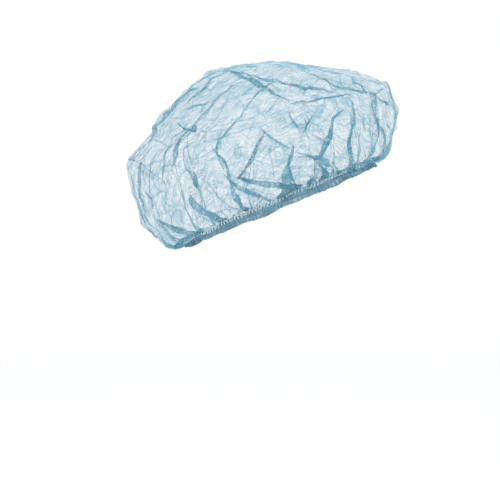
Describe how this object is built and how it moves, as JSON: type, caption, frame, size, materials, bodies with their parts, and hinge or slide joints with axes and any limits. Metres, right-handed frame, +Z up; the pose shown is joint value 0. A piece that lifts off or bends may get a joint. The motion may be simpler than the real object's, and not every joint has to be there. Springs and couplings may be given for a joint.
{
  "type": "disposable hairnet (bouffant mob cap)",
  "caption": "Puffed round cap of thin sheer nonwoven cloth, drawn in by an elastic with a narrow wavy frill below it, kept in its worn form.",
  "frame": {"origin": "middle of the head opening, on the line of the elastic", "axes": "+Z up with the wearer's head upright, -Y the way the face looks, +X the wearer's left; +Y is the longest way, from forehead to back, and +Z the shortest"},
  "size_m": [0.2113, 0.2458, 0.1751],
  "materials": {
    "crown_cloth": "very thin spunbonded nonwoven, sheer light blue, crumpled, matt with a faint sheen on its creases",
    "elastic": "thin elastic under pale blue overlock threads, matt",
    "hem_cloth": "the same nonwoven gathered many layers deep, mid blue, nearly opaque"
  },
  "bodies": {
    "root": {"crown": "crown_cloth", "elastic": "elastic", "hem_frill": "hem_cloth"}
  },
  "joints": []
}
